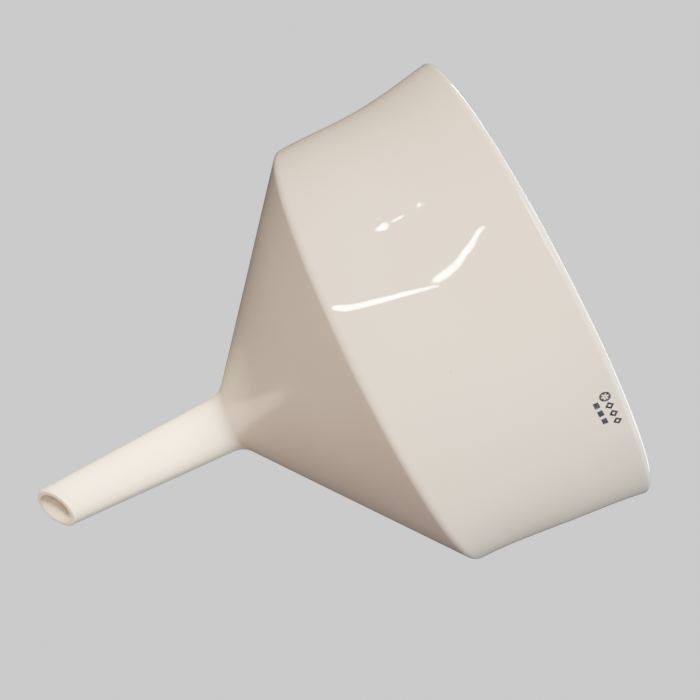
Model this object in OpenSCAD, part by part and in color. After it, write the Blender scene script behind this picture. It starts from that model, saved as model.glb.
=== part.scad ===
// Porcelain Buchner funnel: a flared bowl over a fixed perforated plate, a cone and a tapered stem.
// +Z is the funnel's axis, rim up. z = 0 is the top of the stem's straight taper, where a stopper holds it.
// Millimetres.

/* [Bowl] */
// Inner radius of the bowl's straight lower part
bowl_inner_r = 122; // [119:0.5:127]
// Thickness of the bowl's wall
bowl_wall_t = 5.5; // [4.5:0.5:7]
// Height from the shoulder, where the cone meets the bowl, to the rim
bowl_h = 96; // [85:1:115]
// Height of the straight lower part, above the shoulder
straight_h = 20; // [18:1:45]
// How far the wall flares outwards between the straight part and the rim
flare = 5.5; // [2:0.5:8]
// Rounding of the lip's outer edge
lip_outer_r = 3; // [2:0.25:3]
// Rounding of the lip's inner edge
lip_inner_r = 1.25; // [0.75:0.25:1.5]

/* [Cone] */
// Height of the cone, from the neck to the shoulder
cone_h = 99; // [85:1:110]
// Thickness of the cone's wall
cone_wall_t = 6; // [5:0.5:7]
// Rounding of the shoulder's outer edge
shoulder_r = 6; // [3:0.5:6]
// Radius of the hollow curve between the cone and the stem
neck_fillet_r = 18; // [14:1:22]

/* [Stem] */
// Length of the stem below z = 0, to its point
stem_len = 130; // [110:1:150]
// Outer radius where the stem's and the cone's lines cross, at the neck
neck_r = 17.6; // [17:0.2:20]
// Outer radius of the stem at its point
tip_r = 13.3; // [13:0.1:15]
// Radius of the outlet bore
bore_r = 9.5; // [8:0.25:10]
// Slant of the cut end, from square across
tip_slant = 51; // [0:1:55]

/* [Filter plate] */
// Thickness of the perforated plate
plate_t = 9; // [7:0.5:12]
// Diameter of each perforation
hole_d = 3; // [2:0.1:3.5]
// Distance between the rings of perforations
ring_pitch = 9.2; // [8:0.1:9.5]
// Number of rings of perforations round the centre hole
ring_count = 12; // [4:1:12]
// Width of the slip bead that seals the plate to the bowl
bead_w = 2.2; // [1.5:0.1:3]

/* [Hidden] */
$fn = 96;
porcelain = [0.93, 0.90, 0.84];

// Levels
neck_z = 11;
shoulder_z = neck_z + cone_h;
rim_z = shoulder_z + bowl_h;
seam_z = shoulder_z + 3;
straight_z = shoulder_z + straight_h;

// The bowl's flare is an arc that leaves the straight wall without a kink
bowl_outer_r = bowl_inner_r + bowl_wall_t;
flare_h = rim_z - straight_z;
flare_arc_r = (flare_h * flare_h + flare * flare) / (2 * flare);
flare_centre_r = bowl_outer_r + flare_arc_r;

// Centres of the lip's two roundings, each tangent to its side of the flare and to the rim's plane
lip_outer_z = rim_z - lip_outer_r;
lip_outer_x = flare_centre_r - sqrt(pow(flare_arc_r + lip_outer_r, 2) - pow(lip_outer_z - straight_z, 2));
lip_inner_z = rim_z - lip_inner_r;
lip_inner_x = flare_centre_r
    - sqrt(pow(flare_arc_r + bowl_wall_t - lip_inner_r, 2) - pow(lip_inner_z - straight_z, 2));

// The cone's and the stem's outer lines
cone_angle = atan((bowl_outer_r - neck_r) / cone_h);
stem_taper = atan((neck_r - tip_r) / (neck_z + stem_len));
cone_shift = cone_wall_t / cos(cone_angle);
function cone_outer(z) = neck_r + (z - neck_z) * tan(cone_angle);
function cone_inner(z) = cone_outer(z) - cone_shift;
function stem_outer(z) = neck_r + (z - neck_z) * tan(stem_taper);
throat_z = neck_z + (bore_r + cone_shift - neck_r) / tan(cone_angle);

// The shoulder's rounding, tangent to the straight wall and to the cone
shoulder_cx = bowl_outer_r - shoulder_r;
shoulder_cz = shoulder_z + shoulder_r * tan(cone_angle / 2);

// The neck's hollow curve, tangent to the cone and to the stem
neck_reach = neck_fillet_r * tan((cone_angle - stem_taper) / 2);
neck_cx = neck_r - neck_reach * sin(stem_taper) + neck_fillet_r * cos(stem_taper);
neck_cz = neck_z - neck_reach * cos(stem_taper) - neck_fillet_r * sin(stem_taper);

// The ledge that carries the plate, and the spigot that lutes the stem into the neck
ledge_w = 6.5;
ledge_t = 3;
ledge_r = bowl_inner_r - ledge_w;
spigot_r = 13.5;
spigot_h = 5;

// The plate lies on the ledge, its edge stepped down for the bead
plate_z = shoulder_z;
plate_top_z = plate_z + plate_t;
bead_step = 1;
bead_lip = 0.4;
face_r = bowl_inner_r - bead_w;
bead_base_z = plate_top_z - bead_step;

// A point on the line from one lip centre towards the flare's centre, at a distance from the flare's centre
function on_flare(x, z, reach) =
    let (d = [x, z] - [flare_centre_r, straight_z])
    [flare_centre_r, straight_z] + d * reach / norm(d);

module flared_wall_section() {
    outer = on_flare(lip_outer_x, lip_outer_z, flare_arc_r);
    inner = on_flare(lip_inner_x, lip_inner_z, flare_arc_r + bowl_wall_t);
    difference() {
        intersection() {
            translate([flare_centre_r, straight_z]) circle(r = flare_arc_r + bowl_wall_t, $fn = 360);
            polygon([
                [bowl_inner_r - 1, straight_z], [flare_centre_r - flare_arc_r / 2, straight_z],
                outer, [lip_outer_x, lip_outer_z], [lip_inner_x, lip_inner_z], inner
            ]);
        }
        translate([flare_centre_r, straight_z]) circle(r = flare_arc_r, $fn = 360);
    }
}

module lip_section() {
    polygon([
        [lip_outer_x, lip_outer_z], [lip_outer_x, rim_z], [lip_inner_x, rim_z], [lip_inner_x, lip_inner_z]
    ]);
    translate([lip_outer_x, lip_outer_z]) circle(r = lip_outer_r);
    translate([lip_inner_x, lip_inner_z]) circle(r = lip_inner_r);
}

module bowl_wall() {
    color(porcelain) rotate_extrude() {
        translate([bowl_inner_r, seam_z]) square([bowl_wall_t, straight_z - seam_z]);
        flared_wall_section();
        lip_section();
    }
}

module plate_bead() {
    top_z = bead_base_z + bead_step + bead_w + bead_lip;
    color(porcelain) rotate_extrude() difference() {
        translate([face_r, bead_base_z]) square([bead_w, top_z - bead_base_z]);
        translate([face_r - bead_lip, top_z]) circle(r = bead_w);
    }
}

module perforated_plate() {
    color(porcelain) difference() {
        union() {
            translate([0, 0, plate_z]) cylinder(r = bowl_inner_r, h = plate_t - bead_step);
            translate([0, 0, plate_z]) cylinder(r = face_r, h = plate_t);
        }
        for (ring = [0 : ring_count], step = [0 : max(6 * ring, 1) - 1])
            rotate([0, 0, step * 360 / max(6 * ring, 1)])
                translate([ring * ring_pitch, 0, plate_z - 1]) cylinder(d = hole_d, h = plate_t + 2, $fn = 24);
    }
}

module cone_section() {
    difference() {
        polygon([
            [spigot_r, spigot_h], [spigot_r, 0], [stem_outer(0), 0], [neck_r, neck_z],
            [bowl_outer_r, shoulder_z], [bowl_outer_r, seam_z], [bowl_inner_r, seam_z], [bowl_inner_r, plate_z],
            [ledge_r, plate_z], [ledge_r, plate_z - ledge_t],
            [cone_inner(plate_z - ledge_t), plate_z - ledge_t], [bore_r, throat_z], [bore_r, spigot_h]
        ]);
        shoulder_corner();
    }
    neck_web();
}

// What the shoulder's rounding takes off the sharp corner
module shoulder_corner() {
    difference() {
        translate([shoulder_cx + shoulder_r * cos(cone_angle), shoulder_z - shoulder_r])
            square([2 * shoulder_r, shoulder_cz - shoulder_z + shoulder_r]);
        translate([shoulder_cx, shoulder_cz]) circle(r = shoulder_r);
    }
}

// What the neck's hollow curve adds outside the crossing of the cone's and the stem's lines
module neck_web() {
    difference() {
        polygon([
            [neck_r - cone_wall_t / 2, neck_z],
            [neck_cx - neck_fillet_r * cos(stem_taper), neck_cz + neck_fillet_r * sin(stem_taper)],
            [neck_cx, neck_cz],
            [neck_cx - neck_fillet_r * cos(cone_angle), neck_cz + neck_fillet_r * sin(cone_angle)]
        ]);
        translate([neck_cx, neck_cz]) circle(r = neck_fillet_r);
    }
}

module cone() {
    color(porcelain) rotate_extrude() cone_section();
}

module stem() {
    cut_rise = tip_r * tan(tip_slant);
    color(porcelain) difference() {
        union() {
            translate([0, 0, -stem_len]) cylinder(r1 = tip_r, r2 = stem_outer(0), h = stem_len);
            cylinder(r = spigot_r, h = spigot_h);
        }
        translate([0, 0, -stem_len - 1]) cylinder(r = bore_r, h = stem_len + spigot_h + 2);
        translate([0, 0, cut_rise - stem_len]) rotate([-tip_slant, 0, 0])
            translate([-2 * tip_r, -4 * tip_r, -4 * tip_r]) cube([4 * tip_r, 8 * tip_r, 4 * tip_r]);
    }
}

bowl_wall();
plate_bead();
perforated_plate();
cone();
stem();
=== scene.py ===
import math

import bpy
from mathutils import Matrix, Vector, geometry, noise


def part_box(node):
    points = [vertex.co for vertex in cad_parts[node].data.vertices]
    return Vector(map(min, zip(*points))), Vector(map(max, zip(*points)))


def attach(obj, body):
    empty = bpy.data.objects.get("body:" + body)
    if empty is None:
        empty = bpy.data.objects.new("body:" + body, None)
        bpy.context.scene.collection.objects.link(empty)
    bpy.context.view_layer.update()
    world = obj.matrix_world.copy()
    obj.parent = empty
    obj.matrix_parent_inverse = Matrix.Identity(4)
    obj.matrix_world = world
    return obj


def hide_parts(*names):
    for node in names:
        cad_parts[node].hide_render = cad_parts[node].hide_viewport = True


# The looks of a porcelain Buchner funnel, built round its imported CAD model. Metres; +Z is the funnel's
# axis, rim up; -Y is the side that the slanted outlet faces. Profiles are lists of (radius, height).

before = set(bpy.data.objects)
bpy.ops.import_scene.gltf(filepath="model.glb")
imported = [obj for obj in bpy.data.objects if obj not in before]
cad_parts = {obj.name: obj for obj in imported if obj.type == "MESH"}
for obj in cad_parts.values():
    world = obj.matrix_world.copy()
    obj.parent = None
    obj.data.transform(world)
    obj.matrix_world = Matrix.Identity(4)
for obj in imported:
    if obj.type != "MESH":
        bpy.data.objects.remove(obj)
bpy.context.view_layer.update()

MM = 0.001
TAU = 2 * math.pi

# ---------------------------------------------------------------- sizes, from the frame and the design

BOWL_LOW, BOWL_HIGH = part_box("bowl_wall")
PLATE_LOW, PLATE_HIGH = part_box("perforated_plate")
STEM_LOW, STEM_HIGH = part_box("stem")
CONE_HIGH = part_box("cone")[1]
BEAD_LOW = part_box("plate_bead")[0]

RIM_Z = BOWL_HIGH.z
SEAM_Z = BOWL_LOW.z
SHOULDER_Z = PLATE_LOW.z
OUTER_R = CONE_HIGH.x
INNER_R = PLATE_HIGH.x
WALL_T = OUTER_R - INNER_R

# The bowl: a straight stretch above the shoulder, then an arc that flares to the rim, and a rolled lip
STRAIGHT_Z = SHOULDER_Z + 20 * MM
FLARE = 5.5 * MM
FLARE_ARC_R = ((RIM_Z - STRAIGHT_Z) ** 2 + FLARE**2) / (2 * FLARE)
FLARE_CENTRE = (OUTER_R + FLARE_ARC_R, STRAIGHT_Z)
LIP_OUTER_R = 3 * MM
LIP_INNER_R = 1.25 * MM

# The wall has leaned sideways a little in the kiln, most halfway between the plate and the rim
SLUMP = 1.25 * MM
SLUMP_AZIMUTH = 77

# The cone and its neck
NECK_Z = 11 * MM
NECK_R = 17.6 * MM
NECK_FILLET_R = 18 * MM
CONE_WALL_T = 6 * MM
SHOULDER_R = 6 * MM
LEDGE_W = 6.5 * MM
LEDGE_T = 3 * MM

# The stem: an even taper, a straight bore and a slanted end with edges softened by the glaze. The bore's
# painted shade, a darker glaze colour, reaches a little way past it
STEM_TOP_R = STEM_HIGH.x
TIP_R = 13.3 * MM
BORE_R = 9.5 * MM
SPIGOT_R = 13.5 * MM
SPIGOT_Z = STEM_HIGH.z
TIP_SLANT = math.tan(math.radians(51))
TIP_EDGE_OUTER_R = 1.6 * MM
TIP_EDGE_INNER_R = 1.2 * MM
BORE_SHADE_REACH = 0.3 * MM

# The plate: a hole in the middle and rings of six more each time. The bead round its edge is hollow, and
# stops this many radians short of running out along the wall
PLATE_TOP_Z = PLATE_HIGH.z
HOLE_R = 1.5 * MM
HOLE_EDGE_R = 0.5 * MM
RING_PITCH = 9.2 * MM
RING_COUNT = 12
RING_MORE_HOLES = 6
BEAD_W = 2.6 * MM
BEAD_STOP = 0.15

# The stamp: a sign and a row of lozenges near the rim, with a row of blocks under it, a little askew
STAMP_AZIMUTH = math.radians(11.5)
STAMP_TILT = math.radians(4)
STAMP_Z = RIM_Z - 7.6 * MM
STAMP_STAND_OFF = 0.03 * MM
STAMP_T = 0.04 * MM
STAMP_COUNT = 3
STAMP_PITCH = 4.6 * MM
STAMP_SIGN_X = -7.0 * MM
STAMP_SIGN_R = 2.5 * MM
STAMP_SIGN_LINE = 0.95 * MM
STAMP_DOT_R = 0.4 * MM
STAMP_DOTS = 6
STAMP_LOZENGE_X = -1.9 * MM
STAMP_LOZENGE_R = 2.15 * MM
STAMP_HOLLOW_R = 0.65 * MM
STAMP_BLOCK_W = 3.2 * MM
STAMP_BLOCK_H = 2.5 * MM
STAMP_BLOCK_Y = -4.8 * MM

# How far the hand-finished body and the glaze on it lie inside the true surface, and their waves a metre
BODY_WAVE = 0.16 * MM
BODY_WAVE_SCALE = 11
BODY_WAVE_OFFSET = Vector((3.1, 0.7, 5.2))
RIPPLE = 0.05 * MM
RIPPLE_SCALE = Vector((38, 38, 60))

# How finely the meshes are divided
ROUND_SEGMENTS = 360
STEM_SEGMENTS = 144
PROFILE_STEP = 2.5 * MM
FLARE_STEPS = 30
LIP_OUTER_STEPS = 14
LIP_INNER_STEPS = 8
NECK_STEPS = 16
SHOULDER_STEPS = 12
BEAD_STEPS = 12
STEM_STEPS = 44
TIP_FACE_STEPS = 4
TIP_OUTER_STEPS = 10
TIP_INNER_STEPS = 8
HOLE_SIDES = 20
HOLE_EDGE_STEPS = 4
STAMP_SIGN_SIDES = 40
STAMP_DOT_SIDES = 12
LOZENGE_SIDES = 4

# Edges that bend by more than this look sharp, and points this near a seam's level lie on the seam
SHARP_ANGLE = math.radians(40)
SEAM_REACH = 0.01 * MM

# What delaunay_2d_cdt is asked for: the triangles inside its outlines, with points this close joined
CDT_INSIDE = 1
CDT_JOIN = 1e-7


# ---------------------------------------------------------------- profiles


def direction(azimuth, elevation):
    """Towards an azimuth in degrees, 0 at -Y and 90 at +X, and an elevation."""
    a, e = math.radians(azimuth), math.radians(elevation)
    return Vector((math.sin(a) * math.cos(e), -math.cos(a) * math.cos(e), math.sin(e)))


def fillet(before, corner, after, radius, steps):
    """Points of the arc that rounds a corner between two straight runs."""
    corner, back, on = Vector(corner), Vector(before), Vector(after)
    u, v = (back - corner).normalized(), (on - corner).normalized()
    half = u.angle(v) / 2
    centre = corner + (u + v).normalized() * radius / math.sin(half)
    start = corner + u * radius / math.tan(half) - centre
    sweep = math.pi - 2 * half
    turn = sweep if u.cross(v) < 0 else -sweep
    return [tuple(centre + Matrix.Rotation(turn * i / steps, 2) @ start) for i in range(steps + 1)]


def arc(centre, radius, start, end, steps):
    """Points of a circle's arc, angles in radians from the outward direction."""
    angles = [start + (end - start) * i / steps for i in range(steps + 1)]
    return [(centre[0] + radius * math.cos(a), centre[1] + radius * math.sin(a)) for a in angles]


def stretch(start, end, steps):
    """Evenly spaced points from start to end."""
    return [tuple(Vector(start).lerp(Vector(end), i / steps)) for i in range(steps + 1)]


def spread(points):
    """The same closed outline with no gap between points much longer than the profile step."""
    out = []
    for here, there in zip(points, points[1:] + points[:1]):
        count = max(1, round(math.dist(here, there) / PROFILE_STEP))
        out += stretch(here, there, count)[:-1]
    return out


def lip_centre(radius, from_arc):
    """The centre of a lip rounding that touches the rim's plane and one side of the flare."""
    z = RIM_Z - radius
    return (FLARE_CENTRE[0] - math.sqrt(from_arc**2 - (z - STRAIGHT_Z) ** 2), z)


def flare_angle(point):
    """The direction of a point from the flare's centre, in radians."""
    return math.atan2(point[1] - FLARE_CENTRE[1], point[0] - FLARE_CENTRE[0])


def bowl_profile():
    """Up the bowl's outside, over the lip and down the inside, to the seam with the cone."""
    outer_lip = lip_centre(LIP_OUTER_R, FLARE_ARC_R + LIP_OUTER_R)
    inner_lip = lip_centre(LIP_INNER_R, FLARE_ARC_R + WALL_T - LIP_INNER_R)
    outer_end, inner_end = flare_angle(outer_lip), flare_angle(inner_lip)
    outside = arc(FLARE_CENTRE, FLARE_ARC_R, math.pi, outer_end, FLARE_STEPS)
    inside = arc(FLARE_CENTRE, FLARE_ARC_R + WALL_T, inner_end, math.pi, FLARE_STEPS)
    lip = arc(outer_lip, LIP_OUTER_R, outer_end - math.pi, math.pi / 2, LIP_OUTER_STEPS)
    lip += arc(inner_lip, LIP_INNER_R, math.pi / 2, inner_end, LIP_INNER_STEPS)
    return spread([(OUTER_R, SEAM_Z)] + outside + lip + inside + [(INNER_R, SEAM_Z)])


def cone_profile():
    """Up the cone's outside from the stem's seam to the bowl's, and down inside past the plate's ledge."""
    slope = (OUTER_R - NECK_R) / (SHOULDER_Z - NECK_Z)
    shift = CONE_WALL_T * math.sqrt(1 + slope**2)
    ledge_z = SHOULDER_Z - LEDGE_T
    throat_z = NECK_Z + (BORE_R + shift - NECK_R) / slope
    foot, neck = (STEM_TOP_R, 0.0), (NECK_R, NECK_Z)
    shoulder, above = (OUTER_R, SHOULDER_Z), (OUTER_R, RIM_Z)
    outline = [(SPIGOT_R, 0.0), foot]
    outline += fillet(foot, neck, shoulder, NECK_FILLET_R, NECK_STEPS)
    outline += [p for p in fillet(neck, shoulder, above, SHOULDER_R, SHOULDER_STEPS) if p[1] < SEAM_Z]
    outline += [(OUTER_R, SEAM_Z), (INNER_R, SEAM_Z), (INNER_R, SHOULDER_Z)]
    outline += [(INNER_R - LEDGE_W, SHOULDER_Z), (INNER_R - LEDGE_W, ledge_z)]
    outline += [(NECK_R + (ledge_z - NECK_Z) * slope - shift, ledge_z), (BORE_R, throat_z)]
    outline += [(BORE_R, SPIGOT_Z), (SPIGOT_R, SPIGOT_Z)]
    return spread(outline)


def bead_profile():
    """A hollow fillet that runs out smoothly on the plate and stops at a small step on the wall."""
    centre = (INNER_R - BEAD_W, PLATE_TOP_Z + BEAD_W)
    hollow = arc(centre, BEAD_W, -math.pi / 2, -BEAD_STOP, BEAD_STEPS)
    return hollow + [(INNER_R, hollow[-1][1]), (INNER_R, BEAD_LOW.z), (INNER_R - BEAD_W, BEAD_LOW.z)]


def stem_outline(side):
    """The stem's outline at one azimuth. side is -1 where the outlet is cut shortest and 1 at its point."""
    taper = (STEM_TOP_R - TIP_R) / -STEM_LOW.z
    middle_z = STEM_LOW.z + TIP_R * TIP_SLANT
    outer_z = (middle_z - STEM_TOP_R * side * TIP_SLANT) / (1 + taper * side * TIP_SLANT)
    outer = (STEM_TOP_R + outer_z * taper, outer_z)
    inner = (BORE_R, middle_z - BORE_R * side * TIP_SLANT)
    top_outer, top_inner = (STEM_TOP_R, 0.0), (BORE_R, SPIGOT_Z)
    inner_edge = fillet(top_inner, inner, outer, TIP_EDGE_INNER_R, TIP_INNER_STEPS)
    outer_edge = fillet(inner, outer, top_outer, TIP_EDGE_OUTER_R, TIP_OUTER_STEPS)
    outline = stretch(inner_edge[-1], outer_edge[0], TIP_FACE_STEPS)[:-1] + outer_edge
    outline += stretch(outer_edge[-1], top_outer, STEM_STEPS)[1:]
    outline += [(SPIGOT_R, 0.0), (SPIGOT_R, SPIGOT_Z)]
    outline += stretch(top_inner, inner_edge[0], STEM_STEPS) + inner_edge[1:-1]
    return outline


# ---------------------------------------------------------------- meshes


def glaze_wave(p):
    """How far the hand-finished body and its glaze lie inside the true surface at a point."""
    body = noise.noise(p * BODY_WAVE_SCALE + BODY_WAVE_OFFSET)
    ripple = noise.noise(p * RIPPLE_SCALE)
    return (BODY_WAVE * (body + 1) + RIPPLE * (ripple + 1)) / 2


def slump(z):
    """How far the bowl's wall has leaned at a height. It hasn't at the plate and at the rim."""
    t = min(max((z - PLATE_TOP_Z) / (RIM_Z - PLATE_TOP_Z), 0), 1)
    return direction(SLUMP_AZIMUTH, 0) * SLUMP * math.sin(math.pi * t) ** 2


def ring_points(profile, angle):
    """One azimuth's outline in space, sunk by the glaze's waviness. Points on a seam keep their level, so
    that the two members meet there without a gap."""
    spoke = Vector((math.cos(angle), math.sin(angle), 0))
    out = []
    for i, (r, z) in enumerate(profile):
        ahead, behind = profile[(i + 1) % len(profile)], profile[i - 1]
        normal = Vector((ahead[1] - behind[1], behind[0] - ahead[0])).normalized()
        if min(abs(z), abs(z - SEAM_Z)) < SEAM_REACH:
            normal = Vector((math.copysign(1, normal.x), 0))
        p = spoke * r + Vector((0, 0, z))
        out.append(p + slump(z) - (spoke * normal.x + Vector((0, 0, normal.y))) * glaze_wave(p))
    return out


def make_mesh(name, points, faces, material):
    """A piece made of points and faces, shaded smooth between its sharp edges."""
    mesh = bpy.data.meshes.new(name)
    mesh.from_pydata(points, [], faces)
    mesh.validate()
    mesh.shade_smooth()
    mesh.set_sharp_from_angle(angle=SHARP_ANGLE)
    mesh.materials.append(material)
    piece = bpy.data.objects.new(name, mesh)
    bpy.context.scene.collection.objects.link(piece)
    return piece


def turned(name, profile_at, segments, material):
    """A closed ring of outlines, one for each azimuth. profile_at gives the outline at an angle from +X."""
    columns = [ring_points(profile_at(angle), angle) for angle in turns(segments)]
    count = len(columns[0])
    points = [p for column in columns for p in column]
    faces = []
    for j in range(segments):
        here, there = j * count, (j + 1) % segments * count
        for i in range(count):
            on = (i + 1) % count
            faces.append((here + i, there + i, there + on, here + on))
    return make_mesh(name, points, faces, material)


def turns(count):
    """Evenly spaced angles once round."""
    return [TAU * i / count for i in range(count)]


def circle(radius, sides, centre=(0, 0)):
    """A regular outline in the plane, its first corner on the +X side of its centre."""
    return [Vector(centre) + Vector((math.cos(a), math.sin(a))) * radius for a in turns(sides)]


def hole_centres():
    """The centres of the plate's holes, from its middle outwards."""
    centres = [Vector((0, 0))]
    for ring in range(1, RING_COUNT + 1):
        centres += circle(ring * RING_PITCH, ring * RING_MORE_HOLES)
    return centres


def hole_levels():
    """Radius and height of each ring of points down a hole, between its two softened edges."""
    bends = [math.pi / 2 * k / HOLE_EDGE_STEPS for k in range(1, HOLE_EDGE_STEPS + 1)]
    drops = [(HOLE_R + HOLE_EDGE_R * (1 - math.sin(t)), HOLE_EDGE_R * (1 - math.cos(t))) for t in bends]
    return [(r, PLATE_TOP_Z - d) for r, d in drops] + [(r, SHOULDER_Z + d) for r, d in reversed(drops)]


def plate_mesh(name, material):
    """The sieve plate: two flat faces with softened holes between them, and a plain edge."""
    centres, levels = hole_centres(), hole_levels()
    outlines = [circle(INNER_R, ROUND_SEGMENTS)]
    outlines += [circle(HOLE_R + HOLE_EDGE_R, HOLE_SIDES, centre) for centre in centres]
    flat, loops = [], []
    for outline in outlines:
        loops.append(list(range(len(flat), len(flat) + len(outline))))
        flat += outline
    solution = geometry.delaunay_2d_cdt(flat, [], loops, CDT_INSIDE, CDT_JOIN)
    verts, _, triangles, origins, _, insides = solution
    solved = {old: new for new, olds in enumerate(origins) for old in olds}

    # A triangle inside the plate's own outline alone is solid. One inside a hole's outline too is open.
    solid = [tuple(t) for t, inside in zip(triangles, insides) if list(inside) == [0]]
    low = len(verts)
    points = [Vector((v.x, v.y, z)) for z in (PLATE_TOP_Z, SHOULDER_Z) for v in verts]
    faces = solid + [tuple(low + i for i in reversed(t)) for t in solid]
    edge = [solved[i] for i in loops[0]]
    faces += [(a, a + low, b + low, b) for a, b in zip(edge, edge[1:] + edge[:1])]
    for loop, centre in zip(loops[1:], centres):
        rows = [[solved[i] for i in loop]]
        for radius, z in levels:
            rows.append(list(range(len(points), len(points) + HOLE_SIDES)))
            points += [v.to_3d() + Vector((0, 0, z)) for v in circle(radius, HOLE_SIDES, centre)]
        rows.append([solved[i] + low for i in loop])
        for upper, lower in zip(rows, rows[1:]):
            for j in range(HOLE_SIDES):
                on = (j + 1) % HOLE_SIDES
                faces.append((upper[j], upper[on], lower[on], lower[j]))
    return make_mesh(name, points, faces, material)


def wall_point(across, up, lift):
    """A point on the bowl's outside. across and up are measured from the stamp's middle, along its rows."""
    z = STAMP_Z + across * math.sin(STAMP_TILT) + up * math.cos(STAMP_TILT)
    r = FLARE_CENTRE[0] - math.sqrt(FLARE_ARC_R**2 - (z - STRAIGHT_Z) ** 2)
    azimuth = STAMP_AZIMUTH + (across * math.cos(STAMP_TILT) - up * math.sin(STAMP_TILT)) / r
    spoke = Vector((math.sin(azimuth), -math.cos(azimuth), 0))
    on_wall = spoke * r + Vector((0, 0, z))
    return on_wall + slump(z) + spoke * (lift - glaze_wave(on_wall))


def block(centre):
    """The four corners of one of the stamp's blocks."""
    half = Vector((STAMP_BLOCK_W, STAMP_BLOCK_H)) / 2
    return [centre + half * Vector(corner) for corner in ((-1, -1), (1, -1), (1, 1), (-1, 1))]


def stamp_shapes():
    """The stamp's flat shapes, each an outline and its hollow, if it has one."""
    sign = Vector((STAMP_SIGN_X, 0))
    disc = circle(STAMP_SIGN_R, STAMP_SIGN_SIDES, sign)
    shapes = [(disc, circle(STAMP_SIGN_R - STAMP_SIGN_LINE, STAMP_SIGN_SIDES, sign))]
    for dot in [sign] + circle(STAMP_SIGN_R / 2, STAMP_DOTS, sign):
        shapes.append((circle(STAMP_DOT_R, STAMP_DOT_SIDES, dot), None))
    for i in range(STAMP_COUNT):
        middle = Vector((STAMP_LOZENGE_X + STAMP_PITCH * i, 0))
        lozenge = circle(STAMP_LOZENGE_R, LOZENGE_SIDES, middle)
        shapes.append((lozenge, circle(STAMP_HOLLOW_R, LOZENGE_SIDES, middle)))
        shapes.append((block(Vector((STAMP_PITCH * (i - 1), STAMP_BLOCK_Y))), None))
    return shapes


def add_slab(points, faces, outer, inner):
    """A thin closed slab on the wall, with or without a hole of the same number of sides."""
    count, start = len(outer), len(points)
    for outline in (outer, inner) if inner else (outer,):
        for lift in (STAMP_STAND_OFF, STAMP_STAND_OFF + STAMP_T):
            points += [wall_point(v.x, v.y, lift) for v in outline]
    low = [start + i for i in range(count)]
    high = [i + count for i in low]
    pairs = [(i, (i + 1) % count) for i in range(count)]
    faces += [(low[i], low[j], high[j], high[i]) for i, j in pairs]
    if not inner:
        faces += [tuple(high), tuple(reversed(low))]
        return
    hole_low = [i + count for i in high]
    hole_high = [i + count for i in hole_low]
    faces += [(hole_low[j], hole_low[i], hole_high[i], hole_high[j]) for i, j in pairs]
    faces += [(high[i], high[j], hole_high[j], hole_high[i]) for i, j in pairs]
    faces += [(low[j], low[i], hole_low[i], hole_low[j]) for i, j in pairs]


def stamp_mesh(name, material):
    """A sieve-plate sign with a row of lozenges, and a row of blocks under it."""
    points, faces = [], []
    for outer, inner in stamp_shapes():
        add_slab(points, faces, outer, inner)
    return make_mesh(name, points, faces, material)


# ---------------------------------------------------------------- materials

# Scales are in features a metre. A band is the part of a texture's range that a change runs over
CLOUD_SCALE = 14
CLOUD_BAND = (0.35, 0.65)
SPECK_SCALE = 55
SPECK_BAND = (0.018, 0.028)
SPECK_TONE = 0.72
SMEAR_SCALE = 30
SMEAR_BAND = (0.3, 0.7)
GLAZE_IOR = 1.52

# The orange peel has wide waves under its fine ones, and this many times as high
WIDE_PEEL_TIMES = 6
WIDE_PEEL_SCALE = 45
FINE_PEEL_SCALE = 260

# How much rougher the wear makes the glaze, and the height below which it is worn all over
SATIN = 0.11
SATIN_BELOW = 85 * MM

INK_GRAIN_SCALE = 900
INK_GRAIN_BAND = (0.35, 0.75)
INK_SMEAR_SCALE = 200
INK_ROUGHNESS = (0.12, 0.25)

# The Mix node's colour sockets, which share their names with its number sockets
MIX_LOW = 6
MIX_HIGH = 7
MIX_RESULT = 2


def node_of(tree, kind, **inputs):
    """A new node with some of its inputs set. An underscore stands for a space in an input's name."""
    made = tree.nodes.new(kind)
    for name, value in inputs.items():
        made.inputs[name.replace("_", " ")].default_value = value
    return made


def noise_of(tree, coords, scale, detail, roughness=0.5):
    """A cloudy number that varies about 0.5."""
    made = node_of(tree, "ShaderNodeTexNoise", Scale=scale, Detail=detail, Roughness=roughness)
    tree.links.new(coords, made.inputs["Vector"])
    return made.outputs["Fac"]


def mixed(tree, factor, low, high):
    """A colour that runs from low to high as factor goes from 0 to 1."""
    made = tree.nodes.new("ShaderNodeMix")
    made.data_type = "RGBA"
    tree.links.new(factor, made.inputs["Factor"])
    for socket, value in ((made.inputs[MIX_LOW], low), (made.inputs[MIX_HIGH], high)):
        if isinstance(value, tuple):
            socket.default_value = (*value, 1)
        else:
            tree.links.new(value, socket)
    return made.outputs[MIX_RESULT]


def ranged(tree, value, band, ends):
    """A number that runs between two ends as a value runs over a band, and stays at them outside it."""
    made = node_of(
        tree,
        "ShaderNodeMapRange",
        From_Min=band[0],
        From_Max=band[1],
        To_Min=ends[0],
        To_Max=ends[1],
    )
    tree.links.new(value, made.inputs["Value"])
    return made.outputs["Result"]


def added(tree, one, other):
    """The sum of two numbers."""
    made = tree.nodes.new("ShaderNodeMath")
    tree.links.new(one, made.inputs[0])
    tree.links.new(other, made.inputs[1])
    return made.outputs[0]


def bumped(tree, height, distance, before=None):
    """A normal bent by a height, on top of an earlier bend if there is one."""
    made = node_of(tree, "ShaderNodeBump", Strength=1.0, Distance=distance)
    tree.links.new(height, made.inputs["Height"])
    if before is not None:
        tree.links.new(before, made.inputs["Normal"])
    return made.outputs["Normal"]


def new_material(name):
    """A new material with its node tree, its shader and the coordinates that its textures follow."""
    made = bpy.data.materials.new(name)
    made.use_nodes = True
    tree = made.node_tree
    coords = tree.nodes.new("ShaderNodeTexCoord").outputs["Object"]
    return made, tree, tree.nodes["Principled BSDF"], coords


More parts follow.
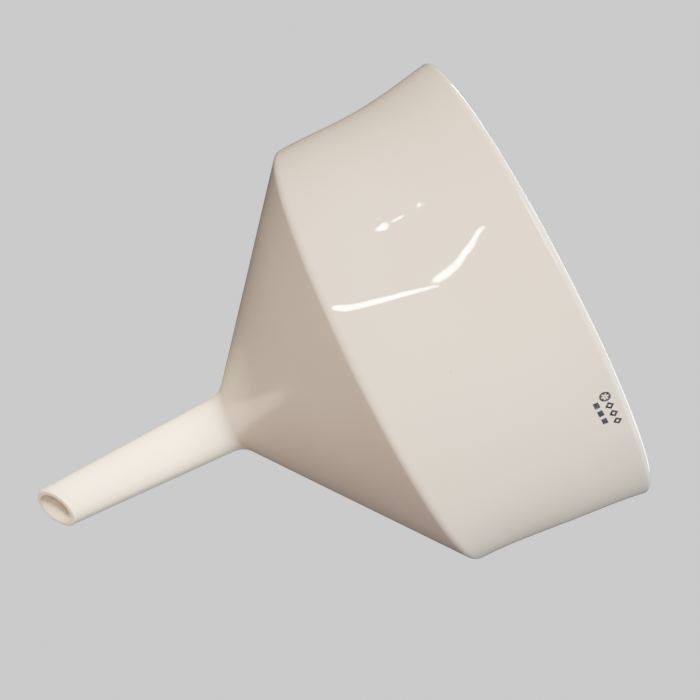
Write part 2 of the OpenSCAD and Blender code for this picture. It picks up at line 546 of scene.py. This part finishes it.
def porcelain(name, white, shade, roughness, peel):
    """Warm white porcelain under a clear glaze, with cloudy tone, iron specks and an orange-peel surface.
    Hands have worn it to satin below the bowl."""
    made, tree, shader, coords = new_material(name)

    cloud = ranged(tree, noise_of(tree, coords, CLOUD_SCALE, detail=4), CLOUD_BAND, (0, 1))
    clouded = mixed(tree, cloud, white, shade)
    specks = node_of(tree, "ShaderNodeTexVoronoi", Scale=SPECK_SCALE)
    tree.links.new(coords, specks.inputs["Vector"])
    speck = ranged(tree, specks.outputs["Distance"], SPECK_BAND, (1, 0))
    speckled = mixed(tree, speck, clouded, tuple(c * SPECK_TONE for c in shade))
    tree.links.new(speckled, shader.inputs["Base Color"])

    smear = ranged(tree, noise_of(tree, coords, SMEAR_SCALE, detail=3), SMEAR_BAND, roughness)
    place = tree.nodes.new("ShaderNodeSeparateXYZ")
    tree.links.new(coords, place.inputs["Vector"])
    worn = ranged(tree, place.outputs["Z"], (SATIN_BELOW, SHOULDER_Z), (SATIN, 0))
    tree.links.new(added(tree, worn, smear), shader.inputs["Roughness"])

    swell = noise_of(tree, coords, WIDE_PEEL_SCALE, detail=1, roughness=0.4)
    wide = bumped(tree, swell, peel * WIDE_PEEL_TIMES)
    fine = bumped(tree, noise_of(tree, coords, FINE_PEEL_SCALE, detail=2), peel, wide)
    tree.links.new(fine, shader.inputs["Normal"])
    shader.inputs["IOR"].default_value = GLAZE_IOR
    return made


def printed(name, ink, thin_ink):
    """Blue-black stamp ink fired under the glaze, a little uneven."""
    made, tree, shader, coords = new_material(name)
    grain = ranged(tree, noise_of(tree, coords, INK_GRAIN_SCALE, detail=2), INK_GRAIN_BAND, (0, 1))
    tree.links.new(mixed(tree, grain, ink, thin_ink), shader.inputs["Base Color"])
    smear = ranged(tree, noise_of(tree, coords, INK_SMEAR_SCALE, detail=2), SMEAR_BAND, INK_ROUGHNESS)
    tree.links.new(smear, shader.inputs["Roughness"])
    return made


def glow(name, colour, strength):
    """A material that only shines, evenly all over."""
    made = bpy.data.materials.new(name)
    made.use_nodes = True
    tree = made.node_tree
    tree.nodes.clear()
    light = node_of(tree, "ShaderNodeEmission", Color=(*colour, 1), Strength=strength)
    out = tree.nodes.new("ShaderNodeOutputMaterial")
    tree.links.new(light.outputs[0], out.inputs["Surface"])
    return made


# ---------------------------------------------------------------- camera, lights and stage

# The photo's viewpoint. Azimuths, elevations and the roll are in degrees
CAMERA_AIM = Vector((-0.040, 0.0092, 0.131))
CAMERA_DISTANCE = 0.4309
CAMERA_AZIMUTH = -12.946
CAMERA_ELEVATION = 3.746
CAMERA_ROLL = 63.256
CAMERA_LENS = 37.75
CAMERA_SHIFT = (-0.0447, -0.1171)
CAMERA_CLIP_START = 0.01

# The plain surroundings and the dim even light from all sides
AMBIENT = (0.12, 0.11, 0.10)
PAPER = (1.22, 1.22, 1.22)
FLOOR_DROP = 0.3
SURROUND_R = 4.0
DOME_SIDES = 64
DOME_ROWS = 12

# The round lights, all aimed at the bowl, and the narrow lamp on the stem. Power is in watts
BOWL_MIDDLE = Vector((0, 0, 0.1))
LIGHT_DISTANCE = 2.2
LIGHT_SIZE = 1.4
STEM_MIDDLE = Vector((0, 0, -0.064))
STEM_LAMP_DISTANCE = 0.5
STEM_LAMP_REACH = 0.068
STEM_LAMP_BLEND = 0.12
STEM_LAMP_R = 0.03

# The glowing strips. A strip's ends are rounded off, down to a fifth of its width
STRIP_COLOUR = (1.0, 0.89, 0.66)
STRIP_STEPS = 24
STRIP_FULLNESS = 8
STRIP_END = 0.2


def make_camera():
    """The camera at the photo's viewpoint, rolled so that the funnel leans over as it does there."""
    camera = bpy.data.objects.new("camera", bpy.data.cameras.new("camera"))
    back = direction(CAMERA_AZIMUTH, CAMERA_ELEVATION)
    look = (-back).to_track_quat("-Z", "Y").to_matrix().to_4x4()
    roll = Matrix.Rotation(math.radians(CAMERA_ROLL), 4, "Z")
    camera.matrix_world = Matrix.Translation(CAMERA_AIM + back * CAMERA_DISTANCE) @ (look @ roll)
    camera.data.lens = CAMERA_LENS
    camera.data.shift_x, camera.data.shift_y = CAMERA_SHIFT
    camera.data.clip_start = CAMERA_CLIP_START
    bpy.context.scene.collection.objects.link(camera)
    bpy.context.scene.camera = camera


def make_lamp(name, kind, aim, distance, azimuth, elevation, power, colour):
    """A lamp that shines on a point from a direction and stays out of sight itself."""
    lamp = bpy.data.objects.new(name, bpy.data.lights.new(name, kind))
    towards = direction(azimuth, elevation)
    lamp.location = aim + towards * distance
    lamp.rotation_mode = "QUATERNION"
    lamp.rotation_quaternion = towards.to_track_quat("Z", "Y")
    lamp.data.energy = power
    lamp.data.color = colour
    lamp.visible_camera = False
    bpy.context.scene.collection.objects.link(lamp)
    return lamp


def make_light(name, azimuth, elevation, power, colour):
    """A large round soft light on the bowl."""
    light = make_lamp(name, "AREA", BOWL_MIDDLE, LIGHT_DISTANCE, azimuth, elevation, power, colour)
    light.data.shape = "DISK"
    light.data.size = LIGHT_SIZE
    return light


def make_stem_lamp(name, azimuth, elevation, power, colour):
    """A narrow lamp that lights a round patch about the stem's middle."""
    lamp = make_lamp(name, "SPOT", STEM_MIDDLE, STEM_LAMP_DISTANCE, azimuth, elevation, power, colour)
    lamp.data.spot_size = 2 * math.atan(STEM_LAMP_REACH / STEM_LAMP_DISTANCE)
    lamp.data.spot_blend = STEM_LAMP_BLEND
    lamp.data.shadow_soft_size = STEM_LAMP_R


def make_surround():
    """A plain pale floor and dome that only the camera sees, and a dim even light from all sides."""
    world = bpy.data.worlds.new("studio")
    world.use_nodes = True
    world.node_tree.nodes["Background"].inputs["Color"].default_value = (*AMBIENT, 1)
    bpy.context.scene.world = world
    floor_z = STEM_LOW.z - FLOOR_DROP
    points, faces = [], []
    for row in range(DOME_ROWS):
        rise = math.pi / 2 * row / DOME_ROWS
        level = Vector((0, 0, floor_z + SURROUND_R * math.sin(rise)))
        points += [v.to_3d() + level for v in circle(SURROUND_R * math.cos(rise), DOME_SIDES)]
    points.append(Vector((0, 0, floor_z + SURROUND_R)))
    top = len(points) - 1
    for j in range(DOME_SIDES):
        on = (j + 1) % DOME_SIDES
        for row in range(0, top - DOME_SIDES, DOME_SIDES):
            faces.append((row + j, row + DOME_SIDES + j, row + DOME_SIDES + on, row + on))
        faces.append((top - DOME_SIDES + j, top, top - DOME_SIDES + on))
    paper = glow("pale_paper", PAPER, 1.0)
    dome = make_mesh("pale_dome", points, faces, paper)
    floor = make_mesh("pale_floor", points[:DOME_SIDES], [tuple(range(DOME_SIDES))], paper)
    for sheet in (dome, floor):
        sheet.visible_diffuse = False
        sheet.visible_glossy = False
        sheet.visible_shadow = False


def make_strip(name, centre, course, halves, strength):
    """A glowing strip in an upright plane that faces the funnel, seen only as its reflection in the glaze.
    course is a Bezier curve's four knots, in millimetres across and up from the centre. halves are its
    half-widths at the start and the end, in millimetres too."""
    towards = Vector((centre.x, centre.y, 0)).normalized()
    across = Vector((towards.y, -towards.x, 0))
    middles = geometry.interpolate_bezier(*[Vector(knot) for knot in course], STRIP_STEPS + 1)
    points = []
    for i, middle in enumerate(middles):
        t = i / STRIP_STEPS
        width = halves[0] + (halves[1] - halves[0]) * t
        half = width * math.sqrt(max(STRIP_END**2, 1 - (2 * t - 1) ** STRIP_FULLNESS))
        for side in (-half, half):
            points.append(centre + (across * (middle.x + side) + Vector((0, 0, middle.y))) * MM)
    faces = [(i, i + 1, i + 3, i + 2) for i in range(0, 2 * STRIP_STEPS, 2)]
    strip = make_mesh(name, points, faces, glow(name, STRIP_COLOUR, strength))
    strip.visible_camera = False
    strip.visible_diffuse = False
    strip.visible_shadow = False


def straight(start, end):
    """The four knots of a straight course."""
    return stretch(start, end, 3)


# ---------------------------------------------------------------- making

make_camera()
make_surround()

# Each light's azimuth and elevation, its power and its colour
make_light("key", -33, 30, 162, (1.0, 0.80, 0.57))
make_light("fill", 26, -25, 17, (1.0, 0.60, 0.50))
make_light("side", 60, 30, 29, (0.45, 0.76, 0.84))
make_stem_lamp("stem_lamp", -45, 25, 54, (1.0, 0.80, 0.46))
make_light("back", 150, 30, 120, (1.0, 0.84, 0.68))
make_light("top", 150, 82, 55, (0.90, 0.97, 1.0))

# The low back light isn't reflected, because it would put a bright wedge on the cone's edge
back_low = make_light("back_low", 190, -30, 26, (1.0, 0.78, 0.64))
back_low.visible_glossy = False

# Glowing shapes about 0.2 m from the wall give it a long bent highlight in two parts, and three small ones
LONG_GLOW = Vector((-0.173, -0.275, 0.130))
SMALL_GLOW = Vector((-0.267, -0.170, 0.137))
make_strip("glow_lower", LONG_GLOW, [(36, -49), (2, -30), (16, -12), (-19, 6.5)], (6.5, 3.5), 320)
make_strip("glow_upper", LONG_GLOW, [(-7, 6.6), (-3, 14), (12, 15), (44, 26)], (7.5, 5.5), 320)
make_strip("glow_head", SMALL_GLOW, straight((1, -0.8), (1, -5.5)), (9.5, 2.5), 320)
make_strip("glow_dash", SMALL_GLOW, straight((1, 1.2), (4, 2.8)), (2.2, 2.2), 200)
make_strip("glow_dot", SMALL_GLOW, straight((7, 6.3), (8, 7.0)), (4, 4), 260)

# A long bar high behind the bowl draws the bright line along its lip
RIM_GLOW = Vector((0.1, 1.0, 1.0))
make_strip("glow_rim", RIM_GLOW, straight((0, -80), (0, 80)), (1000, 1000), 110)

glaze = porcelain(
    "glazed_porcelain",
    white=(0.85, 0.82, 0.765),
    shade=(0.80, 0.765, 0.70),
    roughness=(0.018, 0.04),
    peel=0.008 * MM,
)
plate_glaze = porcelain(
    "plate_porcelain",
    white=(0.84, 0.815, 0.77),
    shade=(0.78, 0.75, 0.69),
    roughness=(0.14, 0.28),
    peel=0.03 * MM,
)

bowl_outline = bowl_profile()
cone_outline = cone_profile()
bead_outline = bead_profile()
bowl_piece = turned("glazed_bowl_wall", lambda angle: bowl_outline, ROUND_SEGMENTS, glaze)
cone_piece = turned("glazed_cone", lambda angle: cone_outline, ROUND_SEGMENTS, glaze)
stem_piece = turned("glazed_stem", lambda angle: stem_outline(math.sin(angle)), STEM_SEGMENTS, glaze)
bead_piece = turned("slip_bead", lambda angle: bead_outline, ROUND_SEGMENTS, plate_glaze)
plate_piece = plate_mesh("sieve_plate", plate_glaze)

PIECES = [
    (bowl_piece, "bowl_wall", "glazed_porcelain"),
    (cone_piece, "cone", "glazed_porcelain"),
    (stem_piece, "stem", "glazed_porcelain"),
    (bead_piece, "plate_bead", "plate_porcelain"),
    (plate_piece, "perforated_plate", "plate_porcelain"),
]
for piece, node, slot in PIECES:
    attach(piece, "root")
    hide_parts(node)

# Painted shade: the outlet's bore and the start of its rounded mouth get a darker glaze colour
bore_shade_glaze = porcelain(
    "painted_shade_bore",
    white=(0.50, 0.47, 0.40),
    shade=(0.42, 0.38, 0.32),
    roughness=(0.1, 0.2),
    peel=0.02 * MM,
)
stem_piece.data.materials.append(bore_shade_glaze)
for face in stem_piece.data.polygons:
    if face.center.xy.length < BORE_R + BORE_SHADE_REACH:
        face.material_index = 1

mark = printed("underglaze_mark", ink=(0.018, 0.028, 0.05), thin_ink=(0.076, 0.096, 0.14))
stamp = stamp_mesh("sieve_stamp", mark)
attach(stamp, "root")
